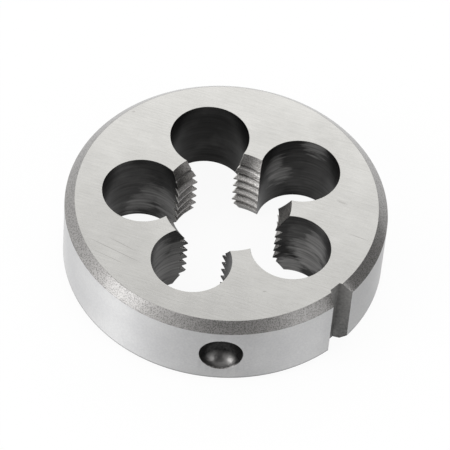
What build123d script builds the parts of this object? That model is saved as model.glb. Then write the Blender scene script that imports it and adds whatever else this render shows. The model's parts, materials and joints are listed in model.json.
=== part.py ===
from build123d import *
import math
import os

# A round threading die: one flat disc of hardened tool steel that cuts a right-hand
# outside thread on a rod. Five chip holes break into the threaded bore and leave five
# toothed lands between them. Sizes are in millimetres. +Z is the axis of the thread, and
# the origin is the centre of the face that the die lies on.

# The disc
die_diameter = 38.0
die_thickness = 10.0
upper_chamfer = 1.15
lower_chamfer = 0.75

# The thread, M14 with a fine pitch
thread_diameter = 14.0
thread_pitch = 1.25
flank_angle = 60.0
tooth_height = 0.75
groove_floor = 0.156
first_groove_height = 0.815

# The lead cones that start the rod at both ends of the thread
lead_mouth_clearance = 0.6
lead_cone_angle = 60.0

# The chip holes
chip_hole_count = 5
chip_hole_diameter = 9.4
chip_hole_break_in = 0.95
first_chip_hole_angle = 36.0

# The notch down the rim that takes the spreading screw of the die holder
notch_angle = -38.5
notch_depth = 1.5
notch_floor = 1.5
notch_flank_angle = 60.0

# The round-bottomed seats in the rim that take the clamping screws, one each side of the notch
seat_diameter = 5.1
seat_depth = 1.93
seat_offset_angle = 46.5

# How far a cutting tool runs past the surface that it cuts
overrun = 1.0

die_radius = die_diameter / 2
groove_radius = thread_diameter / 2
crest_radius = groove_radius - tooth_height
lead_mouth_radius = groove_radius + lead_mouth_clearance
lead_depth = (lead_mouth_radius - crest_radius) / math.tan(math.radians(lead_cone_angle / 2))
chip_hole_radius = chip_hole_diameter / 2
chip_circle_radius = crest_radius + chip_hole_radius - chip_hole_break_in


def turned_blank():
    """The disc as it leaves the lathe: chamfered rim, bore and the two lead cones."""
    half_section = Polyline(
        (crest_radius, lead_depth),
        (lead_mouth_radius, 0),
        (die_radius - lower_chamfer, 0),
        (die_radius, lower_chamfer),
        (die_radius, die_thickness - upper_chamfer),
        (die_radius - upper_chamfer, die_thickness),
        (lead_mouth_radius, die_thickness),
        (crest_radius, die_thickness - lead_depth),
        close=True,
    )
    return revolve(Plane.XZ * make_face(half_section), Axis.Z)


def groove_stretch():
    """One land's stretch of the groove, centred on +X: the helix between two chip holes."""
    half_floor = groove_floor / 2
    widening = math.tan(math.radians(flank_angle / 2))
    # The cutter stands proud of the crests by a little less than would join two turns.
    proud = (thread_pitch - groove_floor - 2 * tooth_height * widening) / (4 * widening)
    half_mouth = half_floor + (tooth_height + proud) * widening
    cutter = Polyline(
        (crest_radius - proud, -half_mouth),
        (groove_radius, -half_floor),
        (groove_radius, half_floor),
        (crest_radius - proud, half_mouth),
        close=True,
    )
    rise = thread_pitch / chip_hole_count
    stretch = sweep(
        Plane.XZ * make_face(cutter),
        path=Helix(thread_pitch, rise, groove_radius),
        is_frenet=True,
    )
    return Pos(Z=-rise / 2) * Rot(Z=-180 / chip_hole_count) * stretch


def thread_grooves():
    """Every stretch of the right-hand groove, land by land and turn by turn."""
    stretch = groove_stretch()
    turns_below = math.ceil(first_groove_height / thread_pitch) + 1
    turns_above = math.ceil((die_thickness - first_groove_height) / thread_pitch)
    first_land_angle = first_chip_hole_angle - 180 / chip_hole_count
    grooves = []
    for land in range(chip_hole_count):
        angle = first_land_angle + land * 360 / chip_hole_count
        height = first_groove_height + thread_pitch * angle / 360
        for turn in range(-turns_below, turns_above + 1):
            grooves.append(Pos(Z=height + turn * thread_pitch) * Rot(Z=angle) * stretch)
    return grooves


def chip_holes():
    """The round holes through the disc that clear the chips and form the cutting edges."""
    hole = Cylinder(
        chip_hole_radius,
        die_thickness + 2 * overrun,
        align=(Align.CENTER, Align.CENTER, Align.MIN),
    )
    ring = PolarLocations(chip_circle_radius, chip_hole_count, first_chip_hole_angle)
    return [place * Pos(Z=-overrun) * hole for place in ring]


def rim_notch():
    """The tapered groove down the rim, with a flat floor."""
    floor_radius = die_radius - notch_depth
    mouth_radius = die_radius + overrun
    half_floor = notch_floor / 2
    half_mouth = half_floor + (mouth_radius - floor_radius) * math.tan(math.radians(notch_flank_angle / 2))
    section = Polyline(
        (floor_radius, -half_floor),
        (mouth_radius, -half_mouth),
        (mouth_radius, half_mouth),
        (floor_radius, half_floor),
        close=True,
    )
    groove = extrude(Pos(Z=-overrun) * make_face(section), die_thickness + 2 * overrun)
    return Rot(Z=notch_angle) * groove


def screw_seat(angle):
    """One seat, sunk into the rim at mid thickness by a ball-nosed cutter."""
    seat_radius = seat_diameter / 2
    ball_radius = (seat_radius**2 + seat_depth**2) / (2 * seat_depth)
    # The seat is as wide as its name says on the ring where the round rim falls away from the ball.
    ring_distance = math.sqrt(die_radius**2 - seat_radius**2)
    ball_distance = ring_distance - seat_depth + ball_radius
    return Pos(Z=die_thickness / 2) * Rot(Z=angle) * Pos(X=ball_distance) * Sphere(ball_radius)


def threading_die():
    """The finished die: every cut is made in the one turned blank."""
    seats = [screw_seat(notch_angle - seat_offset_angle), screw_seat(notch_angle + seat_offset_angle)]
    return turned_blank() - chip_holes() - rim_notch() - seats - thread_grooves()


die = threading_die()
os.makedirs("parts", exist_ok=True)
export_step(die, "parts/threading_die.step")
print("threading_die", "volume", round(die.volume, 1), "faces", len(die.faces()))
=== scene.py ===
# %% [markdown]
# # The finish of a round threading die
#
# A round die is one disc of hardened tool steel, so there is one piece to dress and nothing to
# assemble. What makes it look real is that its surfaces were made in different ways. The two
# faces and the rim were ground bright after hardening. The chamfer, the chip holes, the notch and
# the screw seats were left as they came out of the furnace, dark and slightly rough. The thread
# was cut and lapped, so it lies between the two.
#
# The plan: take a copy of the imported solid, soften its outer corners, sort its faces by the tool
# that made them, and give each group its own metal.

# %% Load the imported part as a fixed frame
import bmesh
import bpy
import json
import math
from mathutils import Matrix, Vector


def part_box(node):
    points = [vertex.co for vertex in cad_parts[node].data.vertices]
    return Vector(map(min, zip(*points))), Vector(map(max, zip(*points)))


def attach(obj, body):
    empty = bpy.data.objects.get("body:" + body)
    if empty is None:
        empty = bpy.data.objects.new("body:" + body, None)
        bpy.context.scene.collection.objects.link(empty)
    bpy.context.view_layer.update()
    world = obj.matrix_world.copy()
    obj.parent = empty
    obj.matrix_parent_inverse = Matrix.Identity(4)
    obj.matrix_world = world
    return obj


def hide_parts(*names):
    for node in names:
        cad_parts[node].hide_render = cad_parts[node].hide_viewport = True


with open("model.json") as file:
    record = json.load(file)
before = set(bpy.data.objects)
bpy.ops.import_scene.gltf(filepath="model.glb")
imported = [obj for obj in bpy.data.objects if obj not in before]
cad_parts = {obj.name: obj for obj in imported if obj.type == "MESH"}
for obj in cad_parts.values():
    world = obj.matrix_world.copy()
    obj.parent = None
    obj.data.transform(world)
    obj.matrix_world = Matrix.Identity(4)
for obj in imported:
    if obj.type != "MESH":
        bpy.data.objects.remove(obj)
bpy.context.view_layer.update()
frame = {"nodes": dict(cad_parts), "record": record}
record = frame["record"]

# %% [markdown]
# ## Places that the finish needs
#
# The frame's record already says where the chip holes, the notch and the screw seats are, so the
# script asks it instead of measuring again. The sizes below are worked out from the packed
# solid's own box and from those places.

# %% Places of the holes, the notch and the seats
MM = 0.001


def mount(name):
    """One interface of the part, as the record gives it."""
    return next(entry for entry in record["mounts"] if entry["name"] == name)


def opening_axis(opening):
    """The point on the floor under the middle of an opening's box."""
    low, high = opening["box_m"]
    return Vector(((low[0] + high[0]) / 2, (low[1] + high[1]) / 2, 0))


part_low, part_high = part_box("threading_die")
die_radius = (part_high.x - part_low.x) / 2
die_thickness = part_high.z - part_low.z
hole_axes = {
    opening["name"]: opening_axis(opening)
    for opening in record["physics"]["openings"]
    if opening["name"].startswith("chip_hole")
}
notch_axis = Vector(mount("spreading_notch")["axis"])
seat_places = [Vector(mount(name)["pos_m"]) for name in ("screw_seat_front", "screw_seat_side")]
print("radius", round(die_radius / MM, 2), "mm, thickness", round(die_thickness / MM, 2), "mm,",
      len(hole_axes), "chip holes")

# %% [markdown]
# ## A copy that can be worked on
#
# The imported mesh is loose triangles, each with its own corners. Merging the corners that share a
# place turns it into one closed skin, which can then be bevelled. Flat areas are cleaned first:
# dissolving the edges inside a flat face leaves fewer, larger faces, and the bevel runs cleanly
# round them.

# %% Merge the copy and clean its flat faces
merge_distance = 0.0001 * MM
flat_within = math.radians(0.05)

skin = bmesh.new()
skin.from_mesh(frame["nodes"]["threading_die"].data)
bmesh.ops.remove_doubles(skin, verts=skin.verts, dist=merge_distance)
bmesh.ops.dissolve_limit(
    skin, angle_limit=flat_within, verts=skin.verts, edges=skin.edges,
    use_dissolve_boundaries=False,
)
open_edges = sum(1 for edge in skin.edges if not edge.is_manifold)
print("merged skin:", len(skin.verts), "vertices,", len(skin.faces), "faces,",
      open_edges, "open edges")

# %% [markdown]
# ## Which tool made this face
#
# Painting the faces by hand would work once, but the selection is lost whenever the part changes.
# Every face can be named instead by where it lies and which way it looks. A face that looks
# straight up or down is the ground face. One that looks outwards at the full radius is the rim.
# One that looks at a chip hole's axis from the hole's radius is a drilled wall. What is left over
# at the end is the thread.

# %% Sizes that tell the faces apart
chip_hole_radius = 4.7 * MM
notch_depth = 1.5 * MM
notch_half_width = 1.65 * MM
seat_radius = 2.56 * MM
crest_radius = 6.25 * MM
cone_half_angle = math.radians(30)
near = 0.12 * MM

# How much of a face's normal, which is 1 long, points one way
nearly_all = 0.98
most = 0.95
half = 0.5
hardly_any = 0.1
slack = 0.05

FINISHES = [
    "ground_face", "ground_rim", "hardened_chamfer", "drilled_wall", "cut_thread", "bored_crest",
    "lead_cone", "milled_notch", "screw_seat",
]
print(len(FINISHES), "finishes")

# %% Sort the faces by the tool that made them
def outward(point):
    """The direction away from the die's axis, level with the floor."""
    return Vector((point.x, point.y, 0)).normalized()


def tool_of(face):
    """The finish that belongs on a face."""
    middle = face.calc_center_median()
    radius = math.hypot(middle.x, middle.y)
    rise = abs(face.normal.z)
    lean = face.normal.dot(outward(middle))
    if rise > nearly_all and min(abs(middle.z), abs(middle.z - die_thickness)) < near:
        return "ground_face"
    sunk = lean < most or radius < die_radius - near
    if sunk and any((middle - seat).length < seat_radius for seat in seat_places):
        return "screw_seat"
    along = middle.dot(notch_axis)
    aside = Vector((middle.x, middle.y, 0)) - notch_axis * along
    in_notch = along > die_radius - notch_depth - near and aside.length < notch_half_width
    if sunk and in_notch and rise < hardly_any:
        return "milled_notch"
    if radius > die_radius - near and lean > most:
        return "ground_rim"
    if radius > die_radius - notch_depth and rise > half:
        return "hardened_chamfer"
    for axis in hole_axes.values():
        to_axis = Vector((axis.x - middle.x, axis.y - middle.y, 0))
        on_the_wall = abs(to_axis.length - chip_hole_radius) < near
        if on_the_wall and face.normal.dot(to_axis.normalized()) > most:
            return "drilled_wall"
    cone_rise, cone_lean = math.sin(cone_half_angle), -math.cos(cone_half_angle)
    if abs(rise - cone_rise) < slack and abs(lean - cone_lean) < slack:
        return "lead_cone"
    if rise < hardly_any and radius < crest_radius + near:
        return "bored_crest"
    return "cut_thread"


finish_count = dict.fromkeys(FINISHES, 0)
for face in skin.faces:
    finish = tool_of(face)
    face.material_index = FINISHES.index(finish)
    finish_count[finish] += 1
print(finish_count)

# %% [markdown]
# ## Softened corners
#
# Grinding wheels and tumbling leave a tiny rounding on outer corners. At this size it is only a
# twentieth of a millimetre, but it catches the light as a fine bright line. A Bevel modifier
# would round every corner by angle, the cutting edges of the thread too, which must stay sharp.
# The bmesh operator takes a list of edges, so only the corners between two plain surfaces go into
# it.

# %% Bevel the outer corners
corner_break = 0.05 * MM
short_edge = 0.15 * MM
soft_corners = {
    frozenset(("ground_face", "hardened_chamfer")),
    frozenset(("ground_rim", "hardened_chamfer")),
    frozenset(("ground_face", "drilled_wall")),
    frozenset(("ground_rim", "screw_seat")),
    frozenset(("ground_rim", "milled_notch")),
    frozenset(("hardened_chamfer", "milled_notch")),
}


def is_soft(edge):
    """Whether an edge is an outer corner between two plain surfaces."""
    if len(edge.link_faces) != 2 or edge.calc_length() < short_edge:
        return False
    pair = frozenset(FINISHES[face.material_index] for face in edge.link_faces)
    return pair in soft_corners


soft_edges = [edge for edge in skin.edges if is_soft(edge)]
bmesh.ops.bevel(
    skin, geom=soft_edges, offset=corner_break, offset_type="OFFSET", affect="EDGES", segments=2,
    profile=0.5, material=-1, clamp_overlap=True,
)
print("bevelled", len(soft_edges), "edges; the skin now has", len(skin.faces), "faces")

# %% [markdown]
# ## Shading
#
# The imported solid's round surfaces are strips of flat faces, and smooth shading blends them.
# Where two surfaces meet, the edge is marked sharp so that the blend stops there. The Weighted
# Normal modifier lets the large flat faces win at their corners, because otherwise the narrow
# bevels would bend the light on the ground faces.

# %% Smooth shading, with sharp edges where two surfaces meet
sharp_above = math.radians(28)
for face in skin.faces:
    face.smooth = True
for edge in skin.edges:
    edge.smooth = edge.calc_face_angle(0) < sharp_above
finished_mesh = bpy.data.meshes.new("finished_die")
skin.to_mesh(finished_mesh)
skin.free()
finished_die = bpy.data.objects.new("finished_die", finished_mesh)
bpy.context.scene.collection.objects.link(finished_die)
by_area = finished_die.modifiers.new("flat_faces_stay_flat", "WEIGHTED_NORMAL")
by_area.keep_sharp = True
by_area.weight = 100
print("finished_die has", len(finished_mesh.polygons), "faces")

# %% [markdown]
# ## Helpers for materials
#
# Colours are written as the sRGB hex codes that a paint program shows, and one function turns
# them into the linear values that the shaders work with. Another small function adds a node, sets
# it up and plugs in its inputs, so that each finish below reads like a recipe. The patterns are
# sized in real millimetres: a noise texture of scale 1 has about one feature to a metre, so one
# divided by the feature's size in metres is the scale to ask for.

# %% Colour and node helpers
FIRST_COLOUR, SECOND_COLOUR = 6, 7  # a Mix node's inputs for its two colours
MIXED_COLOUR = 2  # and its output for the mixed one


def linear(hex_code):
    """Turns an sRGB hex code into a linear RGBA colour."""
    channels = [int(hex_code[start:start + 2], 16) / 255 for start in (1, 3, 5)]
    return [c / 12.92 if c <= 0.04045 else ((c + 0.055) / 1.055) ** 2.4 for c in channels] + [1.0]


def add(tree, kind, inputs=None, **settings):
    """Adds a node with its settings, and sets or links its inputs."""
    made = tree.nodes.new("ShaderNode" + kind)
    for name, value in settings.items():
        setattr(made, name, value)
    for name, value in (inputs or {}).items():
        if isinstance(value, bpy.types.NodeSocket):
            tree.links.new(value, made.inputs[name])
        else:
            made.inputs[name].default_value = value
    return made


def per_size(millimetres):
    """The texture scale that gives one feature in that many millimetres."""
    return 1 / (millimetres * MM)


print("features of 0.2 mm need a texture scale of", round(per_size(0.2)))

# %% The first and the last node of every finish
finishes = {}


def steel(name):
    """A new material with an empty tree, and the place on the die that all its patterns read."""
    material = bpy.data.materials.new(name)
    material.use_nodes = True
    material.node_tree.nodes.clear()
    return material, material.node_tree, add(material.node_tree, "TexCoord").outputs["Object"]


def put_away(finish, material, shader):
    """Plugs the shader into the material's output and keeps the material for its faces."""
    add(material.node_tree, "OutputMaterial", {"Surface": shader.outputs["BSDF"]})
    finishes[finish] = material
    print(finish, "is", material.name, "with", len(material.node_tree.nodes), "nodes")


# %% [markdown]
# ## Stray scratches
#
# A die that has been handled carries a few scratches that run across its grinding lines. A noise
# texture can't put one scratch where it belongs, so each is listed one by one. A Mapping node of
# the Texture type gives a scratch its own measuring frame: along the scratch X runs from 0 to 1,
# and across it Y reaches 1 at its side. Two Map Range nodes then fade it out at its sides and
# ends.

# %% Mask of the stray scratches
# start x and y, end x and y and half width in millimetres, and how dark the scratch is
stray_scratches = [
    (-15.6, -7.9, -8.4, -11.0, 0.06, 0.8),
    (-13.0, -7.6, -9.6, -9.2, 0.05, 0.8),
    (-14.8, -9.6, -10.2, -11.5, 0.04, 0.8),
    (12.6, 2.1, 14.2, 1.5, 0.25, 0.4),
    (14.6, -2.8, 17.2, -3.6, 0.08, 0.45),
    (5.5, -12.9, 6.0, -12.8, 0.12, 0.5),
    (-12.8, 11.9, -12.3, 12.1, 0.15, 0.4),
]


def scratch_mask(tree, place):
    """How dark the stray scratches are at a place, from 0 between them."""
    end, full = 0.5, 0.2  # how far from its middle, in scratch lengths, a scratch ends and is full
    darkest = 0.0
    for start_x, start_y, end_x, end_y, half_width, darkness in stray_scratches:
        run = Vector((end_x - start_x, end_y - start_y, 0)) * MM
        along = add(tree, "Mapping", {
            "Vector": place, "Location": (start_x * MM, start_y * MM, 0),
            "Rotation": (0, 0, math.atan2(run.y, run.x)),
            "Scale": (run.length, half_width * MM, 1)}, vector_type="TEXTURE")
        split = add(tree, "SeparateXYZ", {"Vector": along.outputs["Vector"]})
        from_line = add(tree, "Math", {0: split.outputs["Y"]}, operation="ABSOLUTE")
        side = add(tree, "MapRange", {
            "Value": from_line.outputs[0], "From Min": 1.0, "From Max": 0.0})
        off_middle = add(tree, "Math", {0: split.outputs["X"], 1: 0.5}, operation="SUBTRACT")
        from_middle = add(tree, "Math", {0: off_middle.outputs[0]}, operation="ABSOLUTE")
        ends = add(tree, "MapRange", {
            "Value": from_middle.outputs[0], "From Min": end, "From Max": full,
            "To Max": darkness})
        dark = add(tree, "Math", {
            0: side.outputs["Result"], 1: ends.outputs["Result"]}, operation="MULTIPLY")
        darkest = add(tree, "Math", {
            0: darkest, 1: dark.outputs[0]}, operation="MAXIMUM").outputs[0]
    return darkest


print(len(stray_scratches), "stray scratches")

# %% [markdown]
# ## Surface-ground faces
#
# After hardening, both faces are ground flat on a surface grinder. The wheel leaves fine lines
# that run the same way over the whole face, broken only by the holes. A line pattern is a noise
# texture stretched along one direction, so its coordinates are turned to the grinding direction
# first and squeezed along it after. Up close the lines are a few hundredths of a millimetre
# apart. Here they are drawn 0.2 mm apart, which is as fine as shows from arm's length. Broad
# clouds and small grains on top of them keep the face from looking printed.

# %% Surface-ground faces
def surface_ground():
    """Bright steel, even and pale, with a soft gloss that the grinding lines break up."""
    material, tree, place = steel("surface_ground_tool_steel")
    line_angle = math.radians(-13)
    line_squeeze = 0.07
    grain_share = 0.4
    turned = add(tree, "Mapping", {
        "Vector": place, "Rotation": (0, 0, -line_angle)}).outputs["Vector"]
    stretched = add(tree, "Mapping", {"Vector": turned, "Scale": (line_squeeze, 1, 1)})
    lines = add(tree, "TexNoise", {
        "Vector": stretched.outputs["Vector"], "Scale": per_size(0.2), "Detail": 3.0,
        "Roughness": 0.6})
    clouds = add(tree, "TexNoise", {"Vector": turned, "Scale": per_size(4), "Detail": 3.0})
    grains = add(tree, "TexNoise", {"Vector": turned, "Scale": per_size(0.25), "Detail": 1.0})
    tone = add(tree, "Math", {0: lines.outputs["Fac"], 1: clouds.outputs["Fac"]}, operation="ADD")
    tone = add(tree, "Math", {
        0: grains.outputs["Fac"], 1: grain_share, 2: tone.outputs[0]}, operation="MULTIPLY_ADD")
    spread = add(tree, "MapRange", {"Value": tone.outputs[0], "From Min": 0.9, "From Max": 1.5})
    colours = add(tree, "ValToRGB", {"Fac": spread.outputs["Result"]})
    colours.color_ramp.elements[0].color = linear("#acaba8")
    colours.color_ramp.elements[1].color = linear("#b9b8b5")
    marked = add(tree, "Mix", {
        "Factor": scratch_mask(tree, place), FIRST_COLOUR: colours.outputs["Color"],
        SECOND_COLOUR: linear("#7c7a77")}, data_type="RGBA")
    bump = add(tree, "Bump", {
        "Height": lines.outputs["Fac"], "Strength": 0.05, "Distance": 0.02 * MM})
    shader = add(tree, "BsdfPrincipled", {
        "Base Color": marked.outputs[MIXED_COLOUR], "Metallic": 1.0, "Roughness": 0.27,
        "Normal": bump.outputs["Normal"]})
    put_away("ground_face", material, shader)


surface_ground()

# %% [markdown]
# ## Ground rim
#
# For the rim the die turns against a grinding wheel, so its marks run round it. They are far too
# fine to see one by one, but together they smear every highlight across themselves into a broad
# band. A painted streak wouldn't move when the light does, so the shader's anisotropy does this: a
# Tangent node tells it which way "round" is. A weak coat stands for the film of oil that keeps
# rust away, and gives a second, tighter gloss. Along the lower corner the rim is painted darker,
# as painted shade at its foot.

# %% Ground rim
def cylindrical_ground():
    """Pale satin steel with one soft band of light up and down, and a line of painted shade at its
    foot.
    """
    material, tree, place = steel("cylindrical_ground_tool_steel")
    foot_top, foot_shade_ends = 0.8 * MM, 1.0 * MM  # the corner's height, and where its painted shade fades out
    foot_shade_share = 0.45
    quarter_turn = 0.25  # the shader counts its rotation in whole turns
    squeeze = 0.05  # draws the marks out to twenty times their width
    stretched = add(tree, "Mapping", {"Vector": place, "Scale": (squeeze, squeeze, 1)})
    # The real marks are some hundredths of a millimetre apart, too fine to show, so 0.3 mm here.
    lines = add(tree, "TexNoise", {
        "Vector": stretched.outputs["Vector"], "Scale": per_size(0.3), "Detail": 3.0,
        "Roughness": 0.6})
    clouds = add(tree, "TexNoise", {"Vector": place, "Scale": per_size(5), "Detail": 3.0})
    grains = add(tree, "TexNoise", {"Vector": place, "Scale": per_size(0.25), "Detail": 2.0})
    tone = add(tree, "Math", {0: clouds.outputs["Fac"], 1: grains.outputs["Fac"]}, operation="ADD")
    spread = add(tree, "MapRange", {"Value": tone.outputs[0], "From Min": 0.7, "From Max": 1.3})
    colours = add(tree, "ValToRGB", {"Fac": spread.outputs["Result"]})
    colours.color_ramp.elements[0].color = linear("#cbcbcc")
    colours.color_ramp.elements[1].color = linear("#d8d8d8")
    height = add(tree, "SeparateXYZ", {"Vector": place}).outputs["Z"]
    # Painted shade: the rim is darkened towards its foot.
    painted_foot_shade = add(tree, "MapRange", {
        "Value": height, "From Min": foot_top, "From Max": foot_shade_ends, "To Min": foot_shade_share,
        "To Max": 1.0})
    edged = add(tree, "VectorMath", {
        0: colours.outputs["Color"], "Scale": painted_foot_shade.outputs["Result"]}, operation="SCALE")
    bump = add(tree, "Bump", {
        "Height": lines.outputs["Fac"], "Strength": 0.1, "Distance": 0.02 * MM})
    around = add(tree, "Tangent", direction_type="RADIAL", axis="Z")
    shader = add(tree, "BsdfPrincipled", {
        "Base Color": edged.outputs["Vector"], "Metallic": 1.0, "Roughness": 0.66,
        "Anisotropic": 0.85, "Anisotropic Rotation": quarter_turn,
        "Tangent": around.outputs["Tangent"], "Coat Weight": 0.5, "Coat Roughness": 0.3,
        "Normal": bump.outputs["Normal"]})
    put_away("ground_rim", material, shader)


cylindrical_ground()

# %% [markdown]
# ## Hardened chamfer
#
# The chamfer was turned on a lathe before the die was hardened, and nobody ground it afterwards.
# The furnace left it grey and sandy, with pale specks where the scale has come off. Fine noise
# drives both the colour and the bump, so a speck is also a small bump, and a hard step in the
# colour ramp keeps the specks crisp. The coat is the thin glassy scale itself, which still shines
# at a low angle.

# %% Hardened chamfer
def turned_and_hardened():
    """Sandy grey scale that glitters where the light skims it."""
    material, tree, place = steel("as_hardened_turned_steel")
    # Real scale has a grain of about a twentieth of a millimetre. It is drawn at 0.14 mm to show.
    grains = add(tree, "TexNoise", {
        "Vector": place, "Scale": per_size(0.14), "Detail": 1.0, "Roughness": 0.7}).outputs["Fac"]
    colours = add(tree, "ValToRGB", {"Fac": grains})
    colours.color_ramp.elements[0].position = 0.34
    colours.color_ramp.elements[0].color = linear("#676564")
    colours.color_ramp.elements[1].position = 0.56
    colours.color_ramp.elements[1].color = linear("#9c9a98")
    bump = add(tree, "Bump", {"Height": grains, "Strength": 0.45, "Distance": 0.04 * MM})
    shader = add(tree, "BsdfPrincipled", {
        "Base Color": colours.outputs["Color"], "Metallic": 1.0, "Roughness": 0.46,
        "Coat Weight": 1.0, "Coat Roughness": 0.25, "Coat IOR": 1.6,
        "Normal": bump.outputs["Normal"]})
    put_away("hardened_chamfer", material, shader)


turned_and_hardened()

# %% [markdown]
# ## Drilled chip holes
#
# The chip holes are drilled and stay as hardening left them, nearly black, and their colour is
# taken darker still as painted shade, for the shaded floor that they would mirror. Faint rings
# from the drill run round them. Oil, chips and fingers have rubbed the scale thin in places,
# mostly beside the lands, and there the rings shine through. Round the mouth of each hole the
# scale is a little lighter too.
#
# The rubbed places are patches with ragged ends that trail off along the rings. A soft round
# distance from a point gives the patch, and a stretched noise added to that distance tears its
# border into tongues. Each patch is placed by the hole it lies in, the direction from that hole's
# axis and the height, so it stays on its wall if the holes move.

# %% Where the scale is rubbed thin
# chip hole, direction from its axis in degrees, height and reach in millimetres, and the wear
rubbed_places = [
    ("left", 57, 3.9, 2.4, 0.7),
    ("left", 80, 4.2, 2.0, 0.6),
    ("left", 95, 2.4, 1.8, 0.6),
    ("left", 110, 1.2, 1.3, 0.6),
    ("left", 47, 1.2, 1.8, 0.7),
    ("left", 150, 5.0, 6.0, 0.2),
    ("right_back", 134, 6.4, 1.8, 0.8),
    ("right_back", 125, 4.2, 1.9, 0.8),
    ("right_back", 76, 9.2, 1.5, 1.0),
    ("right_back", 64, 9.3, 1.4, 1.0),
    ("right_back", 50, 5.0, 6.0, 0.15),
    ("right_front", 49, 6.4, 2.4, 1.3),
    ("right_front", 60, 3.4, 2.4, 1.3),
    ("right_front", 70, 4.9, 2.2, 0.9),
    ("right_front", 91, 1.0, 2.0, 1.1),
    ("right_front", 76, 7.2, 2.4, 0.5),
    ("right_front", 80, 9.3, 4.5, 0.2),
    ("front", 146, 7.2, 2.2, 0.75),
    ("front", 127, 3.6, 2.8, 0.8),
    ("front", 114, 1.2, 2.4, 0.7),
    ("front", 113, 6.5, 1.9, 0.65),
]


def on_wall(hole, direction, height):
    """A point on a chip hole's wall, from degrees round the hole's axis and millimetres up."""
    turn = math.radians(direction)
    foot = Vector((math.cos(turn), math.sin(turn), 0)) * chip_hole_radius
    return hole_axes["chip_hole_" + hole] + foot + Vector((0, 0, height * MM))


def bare_metal(tree, place, tongues):
    """How far the scale is rubbed off at a place, from 0 where it is whole."""
    begins, full = 1.7 * MM, 3.1 * MM  # how far inside its reach a patch begins and is full
    tongue_length = 4.0 * MM
    bare = 0.0
    for hole, direction, height, reach, wear_and_painted_light in rubbed_places:
        away = add(tree, "VectorMath", {
            0: place, 1: on_wall(hole, direction, height)}, operation="DISTANCE").outputs["Value"]
        ragged = add(tree, "Math", {
            0: tongues, 1: -tongue_length, 2: away}, operation="MULTIPLY_ADD")
        rubbed = add(tree, "MapRange", {
            "Value": ragged.outputs[0], "From Min": reach * MM - begins,
            "From Max": reach * MM - full, "To Min": 0.0, "To Max": wear_and_painted_light},
            interpolation_type="SMOOTHSTEP")
        bare = add(tree, "Math", {
            0: bare, 1: rubbed.outputs["Result"]}, operation="MAXIMUM").outputs[0]
    return bare


rubbed_holes = sorted({row[0] for row in rubbed_places})
print(len(rubbed_places), "rubbed places on the walls of the holes", rubbed_holes)

# %% Drilled walls
def drilled_and_hardened():
    """Near-black scale with a dull sheen, taken darker still as painted shade, and grey rings of
    steel where it is rubbed thin.
    """
    material, tree, place = steel("as_hardened_drilled_steel")
    mouth_begins, mouth_full = 8.6 * MM, 8.8 * MM
    mouth_share = 0.5
    cloud_share, ring_share = 0.05, 0.09  # how much each adds to the tone of whole scale
    bare_ring_share, bare_offset = 0.9, -0.05  # and how the rings show in bare steel
    ring_squeeze, tongue_squeeze = 0.06, 0.22
    # Drill rings of 0.1 mm or less are too fine to show, so these are 0.3 mm apart.
    flat = add(tree, "Mapping", {"Vector": place, "Scale": (ring_squeeze, ring_squeeze, 1)})
    rings = add(tree, "TexNoise", {
        "Vector": flat.outputs["Vector"], "Scale": per_size(0.3), "Detail": 3.0,
        "Roughness": 0.6}).outputs["Fac"]
    streaked = add(tree, "Mapping", {
        "Vector": place, "Scale": (tongue_squeeze, tongue_squeeze, 1)})
    tongues = add(tree, "TexNoise", {
        "Vector": streaked.outputs["Vector"], "Scale": per_size(0.6), "Detail": 4.0,
        "Roughness": 0.7}).outputs["Fac"]
    clouds = add(tree, "TexNoise", {"Vector": place, "Scale": per_size(3.0), "Detail": 4.0})
    scale = add(tree, "MapRange", {
        "Value": clouds.outputs["Fac"], "From Min": 0.45, "From Max": 0.65})
    height = add(tree, "SeparateXYZ", {"Vector": place}).outputs["Z"]
    mouth = add(tree, "MapRange", {
        "Value": height, "From Min": mouth_begins, "From Max": mouth_full})
    scale = add(tree, "Math", {
        0: mouth.outputs["Result"], 1: mouth_share, 2: scale.outputs["Result"]},
        operation="MULTIPLY_ADD")
    shine = add(tree, "Math", {
        0: rings, 1: bare_ring_share, 2: bare_offset}, operation="MULTIPLY_ADD")
    tone = add(tree, "Math", {0: scale.outputs[0], 1: cloud_share}, operation="MULTIPLY")
    tone = add(tree, "Math", {
        0: rings, 1: ring_share, 2: tone.outputs[0]}, operation="MULTIPLY_ADD")
    tone = add(tree, "Math", {
        0: bare_metal(tree, place, tongues), 1: shine.outputs[0], 2: tone.outputs[0]},
        operation="MULTIPLY_ADD")
    # The near-black end is the scale's own colour, taken darker as painted shade for the shaded
    # floor that the walls would mirror.
    colours = add(tree, "ValToRGB", {"Fac": tone.outputs[0]})
    colours.color_ramp.elements[0].color = linear("#060606")
    colours.color_ramp.elements[1].color = linear("#858483")
    bump = add(tree, "Bump", {"Height": rings, "Strength": 0.5, "Distance": 0.03 * MM})
    # Rough scale reflects less at a low angle than clean metal, so the specular tint is dimmed.
    shader = add(tree, "BsdfPrincipled", {
        "Base Color": colours.outputs["Color"], "Metallic": 1.0, "Roughness": 0.36,
        "Specular Tint": linear("#ececec"), "Normal": bump.outputs["Normal"]})
    put_away("drilled_wall", material, shader)


drilled_and_hardened()
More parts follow.
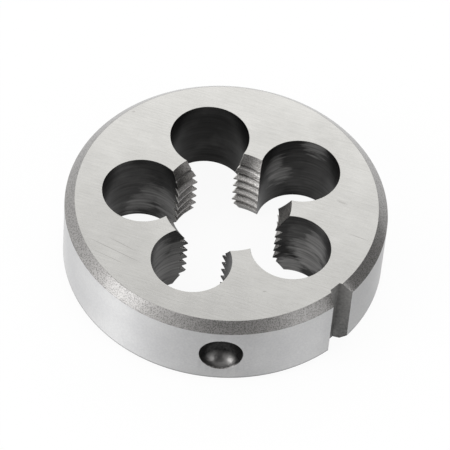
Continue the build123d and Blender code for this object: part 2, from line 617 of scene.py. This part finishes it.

# %% [markdown]
# ## Thread, crests and lead cones
#
# The thread is cut with a tap and then lapped, so its flanks are the brightest steel inside the
# die. Tiny torn marks from cutting stay on them. Each groove is painted dark at its root, as
# painted shade, and each land gets painted light: a painted highlight towards its start and at a
# few listed places, and painted shade at others. A honed corner runs down each land where it meets
# the chip hole, drawn as a fine painted highlight.
#
# Three finishes share these marks and differ in tone, so one function makes them all. It needs to
# know where on a land it is. A radial gradient counts from 0 to 1 once round the axis. Times the
# number of chip holes, the fraction of it counts across each land from one hole's axis to the
# next. Everything that changes over the land, the painted light and the painted shade, is a factor
# on the colour and leaves alone how the steel bends light.

# %% How the painted light changes over a land
# x, y, z and reach in millimetres, and the painted light at that place: a painted highlight above
# 0, painted shade below 0
painted_light_places = [
    (4.3, 5.0, 7.2, 4.0, 0.7),
    (3.5, 6.0, 8.6, 2.0, 0.8),
    (2.2, 6.7, 8.8, 2.2, -0.6),
    (-6.5, 3.0, 8.5, 3.0, 0.35),
    (7.2, 0.3, 9.5, 2.5, 1.2),
    (6.4, -1.0, 4.5, 4.0, -0.6),
]
land_start, highlight_ends = 0.31, 0.62  # of the way from one chip hole's axis to the next
# A painted highlight at the start of each land.
start_highlight = 1.3


def land_position(tree, place):
    """Counts from 0 at one chip hole's axis to 1 at the next, so the land is from 0.31 to 0.69."""
    once_round = add(tree, "TexGradient", {"Vector": place}, gradient_type="RADIAL")
    turns = add(tree, "Math", {
        0: once_round.outputs["Fac"], 1: len(hole_axes)}, operation="MULTIPLY")
    return add(tree, "Math", {0: turns.outputs[0]}, operation="FRACT").outputs[0]


def land_painted_light(tree, place, across_land):
    """How much brighter than its plain colour a place on a land is painted: a painted highlight
    towards the land's start and at some listed places, and painted shade where the factor drops
    below 1.
    """
    painted_light = add(tree, "MapRange", {
        "Value": across_land, "From Min": land_start, "From Max": highlight_ends,
        "To Min": start_highlight, "To Max": 1.0}).outputs["Result"]
    # Painted highlights and painted shade at the listed places.
    for x, y, z, reach, light_gain in painted_light_places:
        away = add(tree, "VectorMath", {
            0: place, 1: Vector((x, y, z)) * MM}, operation="DISTANCE").outputs["Value"]
        lit_here = add(tree, "MapRange", {
            "Value": away, "From Min": 0.0, "From Max": reach * MM, "To Min": light_gain, "To Max": 0.0})
        painted_light = add(tree, "Math", {
            0: painted_light, 1: lit_here.outputs["Result"]}, operation="ADD").outputs[0]
    return painted_light


# The listed places carry painted highlights and painted shade.
print(len(painted_light_places), "honed or dull places on the lands")

# %% The painted shade at the root and the painted highlight on the honed corner
root_shade_from, dark_from = 6.62 * MM, 6.85 * MM  # distances from the die's axis
line_full, line_ends = 0.06 * MM, 0.12 * MM  # distances from the chip hole's wall
# The painted highlight along the honed corner is widest here.
widest_highlight_place = Vector((-6.2, 3.2, 5.5)) * MM
highlight_reach, highlight_widening = 5.0 * MM, 0.08 * MM


def root_shade(tree, place, root_share):
    """Painted shade: 1 on the flanks, down to root_share at the bottom of the groove."""
    level = add(tree, "Mapping", {"Vector": place, "Scale": (1, 1, 0)})
    radius = add(tree, "VectorMath", {
        0: level.outputs["Vector"]}, operation="LENGTH").outputs["Value"]
    return add(tree, "MapRange", {
        "Value": radius, "From Min": root_shade_from, "From Max": dark_from, "To Min": 1.0,
        "To Max": root_share}).outputs["Result"]


def honed_corner_highlight(tree, place, across_land, strength):
    """A painted highlight: a fine bright line along the wall of the chip hole, on the half of the
    land that cuts.
    """
    level = add(tree, "Mapping", {"Vector": place, "Scale": (1, 1, 0)}).outputs["Vector"]
    nearest = die_radius
    for axis in hole_axes.values():
        away = add(tree, "VectorMath", {0: level, 1: axis}, operation="DISTANCE").outputs["Value"]
        nearest = add(tree, "Math", {0: nearest, 1: away}, operation="MINIMUM").outputs[0]
    from_widest_highlight = add(tree, "VectorMath", {0: place, 1: widest_highlight_place}, operation="DISTANCE")
    wider = add(tree, "MapRange", {
        "Value": from_widest_highlight.outputs["Value"], "From Min": 0.0, "From Max": highlight_reach,
        "To Min": highlight_widening, "To Max": 0.0})
    nearest = add(tree, "Math", {
        0: nearest, 1: wider.outputs["Result"]}, operation="SUBTRACT").outputs[0]
    line = add(tree, "MapRange", {
        "Value": nearest, "From Min": chip_hole_radius + line_full,
        "From Max": chip_hole_radius + line_ends, "To Min": strength, "To Max": 0.0})
    cutting_half = add(tree, "Math", {0: across_land, 1: 0.5}, operation="GREATER_THAN")
    return add(tree, "Math", {
        0: line.outputs["Result"], 1: cutting_half.outputs[0]}, operation="MULTIPLY").outputs[0]


# The dark groove past that distance is painted shade.
print("the lap reaches", round(root_shade_from / MM, 2), "mm from the axis, and past",
      round(dark_from / MM, 2), "mm the groove is dark")

# %% Cut thread, bored crests and lead cones
def cut_and_lapped(finish, name, light, dark, root_share, corner_highlight, skimmed="#ffffff"):
    """Steel with small torn marks: light flanks, painted shade at the roots, painted light over
    the land and a painted highlight along the honed corner.

    skimmed is the tint of light that skims over the surface at a low angle: less comes back from
    the rough cones than from the lapped thread.
    """
    material, tree, place = steel(name)
    # The real tears are a few hundredths of a millimetre long. They are drawn at 0.14 mm to show.
    marks = add(tree, "TexNoise", {
        "Vector": place, "Scale": per_size(0.14), "Detail": 2.0, "Roughness": 0.6}).outputs["Fac"]
    colours = add(tree, "ValToRGB", {"Fac": marks})
    colours.color_ramp.elements[0].position = 0.35
    colours.color_ramp.elements[0].color = linear(dark)
    colours.color_ramp.elements[1].position = 0.65
    colours.color_ramp.elements[1].color = linear(light)
    across_land = land_position(tree, place)
    shade = add(tree, "Math", {
        0: land_painted_light(tree, place, across_land), 1: root_shade(tree, place, root_share)},
        operation="MULTIPLY")
    shaded = add(tree, "VectorMath", {
        0: colours.outputs["Color"], "Scale": shade.outputs[0]}, operation="SCALE")
    # The near-white mix is a painted highlight along the honed corner.
    highlighted = add(tree, "Mix", {
        "Factor": honed_corner_highlight(tree, place, across_land, corner_highlight),
        FIRST_COLOUR: shaded.outputs["Vector"], SECOND_COLOUR: linear("#f4f2ee")},
        data_type="RGBA")
    bump = add(tree, "Bump", {"Height": marks, "Strength": 0.7, "Distance": 0.03 * MM})
    shader = add(tree, "BsdfPrincipled", {
        "Base Color": highlighted.outputs[MIXED_COLOUR], "Metallic": 1.0, "Roughness": 0.3,
        "Specular Tint": linear(skimmed), "Normal": bump.outputs["Normal"]})
    put_away(finish, material, shader)


cut_and_lapped("cut_thread", "tapped_and_lapped_steel", "#bebcba", "#7e7c7a",
               root_share=0.4, corner_highlight=1.0)
# The crests' darker tone is partly their own bored finish and partly painted shade, for the dark
# line between the flanks.
cut_and_lapped("bored_crest", "bored_and_lapped_steel", "#827f7e", "#5a5957",
               root_share=1.0, corner_highlight=0.0)
cut_and_lapped("lead_cone", "countersunk_steel", "#a7a5a3", "#6e6c6a",
               root_share=1.0, corner_highlight=0.3, skimmed="#b0b0b0")

# %% [markdown]
# ## Milled notch
#
# The notch is cut with an angle cutter before hardening, and keeps its scale. It is a narrow slot,
# drawn darkest at its foot and lighter towards the upper face. That is one slope added to the
# noise before the colour ramp.

# %% Milled notch
def milled_and_hardened():
    """Matt dark grey, darker towards the foot."""
    material, tree, place = steel("as_hardened_milled_steel")
    slope = 0.35  # how much darker its foot is than its middle, and its upper end lighter
    # The scale's grain of about a twentieth of a millimetre is drawn at 0.35 mm to show.
    grains = add(tree, "TexNoise", {
        "Vector": place, "Scale": per_size(0.35), "Detail": 3.0}).outputs["Fac"]
    height = add(tree, "SeparateXYZ", {"Vector": place}).outputs["Z"]
    lighter_above = add(tree, "MapRange", {
        "Value": height, "From Min": 0.0, "From Max": die_thickness, "To Min": -slope,
        "To Max": slope})
    tone = add(tree, "Math", {0: grains, 1: lighter_above.outputs["Result"]}, operation="ADD")
    colours = add(tree, "ValToRGB", {"Fac": tone.outputs[0]})
    colours.color_ramp.elements[0].color = linear("#4a4a4a")
    colours.color_ramp.elements[1].color = linear("#858482")
    bump = add(tree, "Bump", {"Height": grains, "Strength": 0.3, "Distance": 0.03 * MM})
    shader = add(tree, "BsdfPrincipled", {
        "Base Color": colours.outputs["Color"], "Metallic": 1.0, "Roughness": 0.45,
        "Normal": bump.outputs["Normal"]})
    put_away("milled_notch", material, shader)


milled_and_hardened()

# %% [markdown]
# ## Screw seats
#
# A ball-nosed cutter makes the seats. Their bowls are smoother than the notch, because every
# clamping screw polishes them a little, and so they hold a small soft picture of the lights. The
# lower side of each bowl is painted lighter, as painted light, and the rest stays dark, as painted
# shade for the floor that the upper side would mirror.

# %% Screw seats
def ball_milled_and_hardened():
    """A glossy dark bowl with painted light on its lower side and painted shade above."""
    material, tree, place = steel("as_hardened_ball_milled_steel")
    lit_below, painted_shade_from = 3.0 * MM, 3.8 * MM  # heights between which the painted light on the lower side fades out
    wear_and_painted_light, grain_share = 0.9, 0.3
    # The scale's grain of about a twentieth of a millimetre is drawn at 0.25 mm to show.
    grains = add(tree, "TexNoise", {
        "Vector": place, "Scale": per_size(0.25), "Detail": 2.0}).outputs["Fac"]
    height = add(tree, "SeparateXYZ", {"Vector": place}).outputs["Z"]
    # Painted light: the lower side of the bowl is made paler than the upper side.
    painted_lower_light = add(tree, "MapRange", {
        "Value": height, "From Min": lit_below, "From Max": painted_shade_from, "To Min": wear_and_painted_light,
        "To Max": 0.0})
    tone = add(tree, "Math", {
        0: grains, 1: grain_share, 2: painted_lower_light.outputs["Result"]}, operation="MULTIPLY_ADD")
    colours = add(tree, "ValToRGB", {"Fac": tone.outputs[0]})
    colours.color_ramp.elements[0].position = 0.1
    colours.color_ramp.elements[0].color = linear("#202020")
    colours.color_ramp.elements[1].color = linear("#757473")
    bump = add(tree, "Bump", {"Height": grains, "Strength": 0.5, "Distance": 0.03 * MM})
    shader = add(tree, "BsdfPrincipled", {
        "Base Color": colours.outputs["Color"], "Metallic": 1.0, "Roughness": 0.31,
        "Normal": bump.outputs["Normal"]})
    put_away("screw_seat", material, shader)


ball_milled_and_hardened()

# %% [markdown]
# ## Dress the die
#
# Each face already holds the number of its finish in the list, so the materials only have to go
# into the slots in that same order. The dressed copy then stands for the imported solid and rides
# on the one body there is.

# %% Put the finishes on the die
for finish in FINISHES:
    finished_mesh.materials.append(finishes[finish])
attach(finished_die, "root")
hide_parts("threading_die")
print("finishes:", [material.name for material in finished_mesh.materials])

# %% [markdown]
# ## Floor and world
#
# The die lies on a white card in a white room. Lighting the card until it is white would drown
# the steel in light. So the card and the room look white only to rays that come from the camera
# or from shiny metal, which a Light Path node can tell apart, and they light the die at a plain
# level. A small share of real matt card stays in the mix, which takes the die's own shadow.

# %% White to the eye, plain as a light
def white_to_the_eye(tree):
    """1 for rays that the camera, a shiny metal or glass sends out, and 0 for the light itself."""
    path = add(tree, "LightPath")
    seen = add(tree, "Math", {
        0: path.outputs["Is Camera Ray"], 1: path.outputs["Is Glossy Ray"]}, operation="MAXIMUM")
    return add(tree, "Math", {
        0: seen.outputs[0], 1: path.outputs["Is Transmission Ray"]},
        operation="MAXIMUM").outputs[0]


def facing_die(place):
    """The turn that points an object's -Z axis from its place at the die."""
    return (-place).to_track_quat("-Z", "Y").to_matrix().to_4x4()


def sheet(name, width, height, material, place=None):
    """A flat rectangle with one material: level on the floor, or facing the die from a place."""
    mesh = bpy.data.meshes.new(name)
    plate = bmesh.new()
    bmesh.ops.create_grid(plate, x_segments=1, y_segments=1, size=0.5)
    bmesh.ops.scale(plate, verts=plate.verts, vec=(width, height, 1))
    if place is not None:
        stood_up = Matrix.Translation(place) @ facing_die(place)
        bmesh.ops.transform(plate, matrix=stood_up, verts=plate.verts)
    plate.to_mesh(mesh)
    plate.free()
    mesh.materials.append(material)
    made = bpy.data.objects.new(name, mesh)
    bpy.context.scene.collection.objects.link(made)
    print(name, "is", width, "x", height, "m")
    return made


# %% Floor
floor_size = 4.0
shadow_share = 0.07

floor_material = bpy.data.materials.new("matt_white_card")
floor_material.use_nodes = True
floor_tree = floor_material.node_tree
floor_tree.nodes.clear()
matt = add(floor_tree, "BsdfDiffuse", {"Color": linear("#ffffff")})
glow = add(floor_tree, "Emission", {"Color": linear("#ffffff"), "Strength": 1.0})
glow_share = add(floor_tree, "Math", {
    0: white_to_the_eye(floor_tree), 1: 1 - shadow_share}, operation="MULTIPLY")
blend = add(floor_tree, "MixShader", {
    "Fac": glow_share.outputs[0], 1: matt.outputs["BSDF"], 2: glow.outputs["Emission"]})
add(floor_tree, "OutputMaterial", {"Surface": blend.outputs["Shader"]})
sheet("floor", floor_size, floor_size, floor_material)

# %% World
room_strength = 0.85

world = bpy.data.worlds.new("pale_studio")
bpy.context.scene.world = world
world.use_nodes = True
world.node_tree.nodes.clear()
room = add(world.node_tree, "Background", {
    "Color": linear("#ffffff"), "Strength": room_strength})
white = add(world.node_tree, "Background", {"Color": linear("#ffffff"), "Strength": 1.0})
air = add(world.node_tree, "MixShader", {
    "Fac": white_to_the_eye(world.node_tree), 1: room.outputs["Background"],
    2: white.outputs["Background"]})
add(world.node_tree, "OutputWorld", {"Surface": air.outputs["Shader"]})
print("the room lights the die at a strength of", room_strength)

# %% [markdown]
# ## Lamps and dark cards
#
# Metal has almost no colour of its own: it shows what stands around it. A large softbox at the
# left lights the sandy chamfer and the near side of the rim, a weaker one at the right fills the
# other side, and a small one behind gives the far lands their light. In an all-white room the
# steel would look like paper, so grey and black cards stand round the die, as they would in a
# studio. The walls and the rim mirror them and turn dark. The cards are hidden from the camera,
# cast no shadow and take no part in the diffuse light.

# %% Softboxes
def from_angles(azimuth, elevation, distance):
    """A point that many degrees round from +X, degrees up and metres away from the die."""
    turn, rise = math.radians(azimuth), math.radians(elevation)
    level = math.cos(rise)
    return Vector((math.cos(turn) * level, math.sin(turn) * level, math.sin(rise))) * distance


def softbox(name, azimuth, elevation, distance, size, radiance):
    """A square lamp that faces the die. The lamp's watts come from how bright its face looks."""
    lamp = bpy.data.lights.new(name, "AREA")
    lamp.shape = "SQUARE"
    lamp.size = size
    lamp.energy = radiance * math.pi * size * size
    lamp_object = bpy.data.objects.new(name, lamp)
    place = from_angles(azimuth, elevation, distance)
    lamp_object.matrix_world = Matrix.Translation(place) @ facing_die(place)
    bpy.context.scene.collection.objects.link(lamp_object)
    print(name, "sends", round(lamp.energy, 2), "W")


softbox("key_softbox", -150, 31, distance=0.8, size=0.3, radiance=5.0)
softbox("fill_softbox", -33, 33, distance=0.8, size=0.3, radiance=1.5)
softbox("back_softbox", 91, 41, distance=0.22, size=0.1, radiance=0.8)

# %% Dark cards
card_distance = 0.9


def matt_card(name, hex_code):
    """Plain matt board, which shows only as a dark area in the steel."""
    material = bpy.data.materials.new(name)
    material.use_nodes = True
    material.node_tree.nodes.clear()
    board = add(material.node_tree, "BsdfDiffuse", {"Color": linear(hex_code)})
    add(material.node_tree, "OutputMaterial", {"Surface": board.outputs["BSDF"]})
    return material


def dark_card(name, azimuth, elevation, width, height, material):
    """A card that the steel mirrors, and that neither the camera nor the diffuse light sees."""
    made = sheet(name, width, height, material, from_angles(azimuth, elevation, card_distance))
    made.visible_camera = False
    made.visible_diffuse = False
    made.visible_shadow = False


grey_board = matt_card("matt_grey_card", "#727272")
black_board = matt_card("matt_black_card", "#202020")
dark_card("card_by_the_camera", -70, 45, 0.85, 0.75, grey_board)
dark_card("card_under_the_camera", -90, 9, 0.8, 0.3, grey_board)
dark_card("card_on_the_right", 15, 12, 0.8, 0.44, black_board)
dark_card("card_high_on_the_right", 12, 43, 0.8, 0.5, grey_board)

# %% [markdown]
# ## Camera
#
# The camera looks down at about 50 degrees, so that both the upper face and the whole rim show.
# It stands 0.42 m away with a long lens, as for a small product, which keeps the near side of the
# disc from looking swollen. It is turned about the die's axis first, tipped next, rolled last,
# and then moved back along its own line of sight.

# %% Camera
camera_turn = math.radians(2.43)
camera_elevation = math.radians(50.39)
camera_roll = math.radians(5.0)
camera_distance = 415.5 * MM
aim_right = 0.32 * MM
aim_up = 3.48 * MM
lens_length, sensor_width = 278.8, 36.0  # in millimetres, as Blender takes them

camera_data = bpy.data.cameras.new("camera")
camera_data.lens = lens_length
camera_data.sensor_width = sensor_width
camera_data.clip_start = 0.01
camera = bpy.data.objects.new("camera", camera_data)
line_of_sight = (
    Matrix.Rotation(camera_turn, 4, "Z")
    @ Matrix.Rotation(math.pi / 2 - camera_elevation, 4, "X")
    @ Matrix.Rotation(camera_roll, 4, "Z")
)
camera.matrix_world = line_of_sight @ Matrix.Translation((aim_right, aim_up, camera_distance))
bpy.context.scene.collection.objects.link(camera)
bpy.context.scene.camera = camera
bpy.context.scene.view_settings.view_transform = "Standard"
print("camera at", [round(value, 3) for value in camera.matrix_world.translation], "m")
